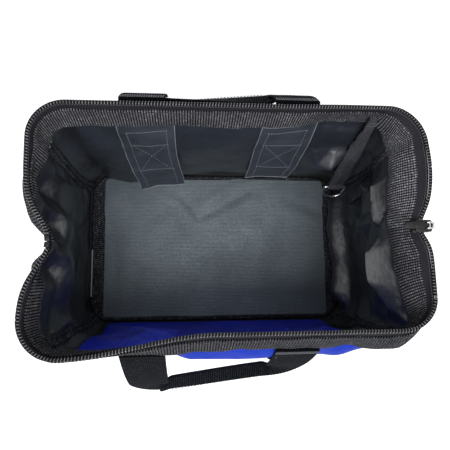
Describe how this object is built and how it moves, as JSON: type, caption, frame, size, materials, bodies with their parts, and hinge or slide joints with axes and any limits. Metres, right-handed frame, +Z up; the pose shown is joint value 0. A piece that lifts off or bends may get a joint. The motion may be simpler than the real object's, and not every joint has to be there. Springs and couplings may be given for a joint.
{
  "type": "zippered tool bag",
  "caption": "Soft rectangular tool bag with an open wide zipped mouth, webbing rim band and carry handles, a stiffened floor and an inside strap with a D-ring.",
  "frame": {"origin": "middle of the underside of the bottom panel", "axes": "+X along the bag's length towards the end where the open zip's slider rests, +Y towards the back wall, +Z up out of the mouth"},
  "size_m": [0.3354, 0.2763, 0.24],
  "materials": {
    "black_shell": "black coated polyester, satin on the coated inside",
    "blue_shell": "royal blue coated polyester",
    "webbing": "black ribbed polypropylene webbing, matt",
    "zip_tape": "black woven zip tape",
    "zip_coil": "grey polyester zip coil, half gloss",
    "cover_fabric": "grey-green plain woven polyester",
    "board": "black polyethylene sheet",
    "vinyl": "black embossed vinyl, satin",
    "metal": "bright nickel plate"
  },
  "bodies": {
    "base": {"back_left_seam_binding": "webbing", "back_left_zip_coil": "zip_coil", "back_left_zip_tape": "zip_tape", "back_right_seam_binding": "webbing", "back_right_zip_coil": "zip_coil", "back_right_zip_tape": "zip_tape", "back_top_stop": "metal", "bottom_panel": "black_shell", "floor_binding": "webbing", "floor_cover": "cover_fabric", "front_left_seam_binding": "webbing", "front_left_zip_coil": "zip_coil", "front_left_zip_tape": "zip_tape", "front_right_seam_binding": "webbing", "front_right_zip_coil": "zip_coil", "front_right_zip_tape": "zip_tape", "front_top_stop": "metal", "left_end_inner_band": "webbing", "left_end_outer_band": "webbing", "left_end_panel": "black_shell", "right_end_inner_band": "webbing", "right_end_outer_band": "webbing", "right_end_panel": "black_shell", "stiffener_board": "board", "zip_bottom_stop": "metal", "zip_tail": "zip_tape"},
    "front_wall": {"front_panel": "blue_shell", "front_inner_band": "webbing", "front_outer_band": "webbing", "front_zip_tape": "zip_tape", "front_zip_coil": "zip_coil", "front_left_handle_leg": "webbing", "front_right_handle_leg": "webbing", "front_left_patch": "blue_shell", "front_right_patch": "blue_shell"},
    "back_wall": {"back_panel": "black_shell", "back_inner_band": "webbing", "back_outer_band": "webbing", "back_zip_tape": "zip_tape", "back_zip_coil": "zip_coil", "back_left_handle_leg": "webbing", "back_right_handle_leg": "webbing", "back_left_patch": "vinyl", "back_right_patch": "vinyl"},
    "zip_slider": {"zip_slider": "metal"},
    "zip_puller": {"zip_puller": "metal"},
    "handle_front": {"front_handle_loop": "webbing"},
    "handle_back": {"back_handle_loop": "webbing"},
    "ring_strap": {"ring_strap": "webbing"},
    "d_ring": {"d_ring": "metal"}
  },
  "joints": [
    {"name": "front_lean", "type": "hinge", "parent": "base", "child": "front_wall", "pos_m": [0, -0.0985, 0.012], "axis": [-1, 0, 0], "range_deg": [0, 22.3]},
    {"name": "back_lean", "type": "hinge", "parent": "base", "child": "back_wall", "pos_m": [0, 0.0985, 0.012], "axis": [1, 0, 0], "range_deg": [0, 24.8]},
    {"name": "zip_slide", "type": "slide", "parent": "base", "child": "zip_slider", "axis": [0.9994, 0.0178, 0.0288], "range_m": [-0.2815, 0]},
    {"name": "puller_turn", "type": "hinge", "parent": "zip_slider", "child": "zip_puller", "pos_m": [0.16574, -0.00271, 0.2338], "axis": [0, 1, 0], "range_deg": [0, 150]},
    {"name": "front_handle_turn", "type": "hinge", "parent": "front_wall", "child": "handle_front", "pos_m": [-0.009, -0.10886, 0.2059], "axis": [-1, 0, 0], "range_deg": [0, 145]},
    {"name": "back_handle_turn", "type": "hinge", "parent": "back_wall", "child": "handle_back", "pos_m": [-0.009, 0.10242, 0.236], "axis": [1, 0, 0], "range_deg": [0, 150]},
    {"name": "strap_swing", "type": "hinge", "parent": "back_wall", "child": "ring_strap", "pos_m": [0.129, 0.09109, 0.2222], "axis": [-1, 0, 0], "range_deg": [0, 35]},
    {"name": "ring_turn", "type": "hinge", "parent": "ring_strap", "child": "d_ring", "pos_m": [0.141, 0.066, 0.076], "axis": [1, 0, 0], "range_deg": [-60, 60]}
  ],
  "couplings": [
    {"joint": "back_lean", "follows": "front_lean", "ratio": 1.1118},
    {"joint": "zip_slide", "follows": "front_lean", "m_per_rad": -0.7225}
  ]
}
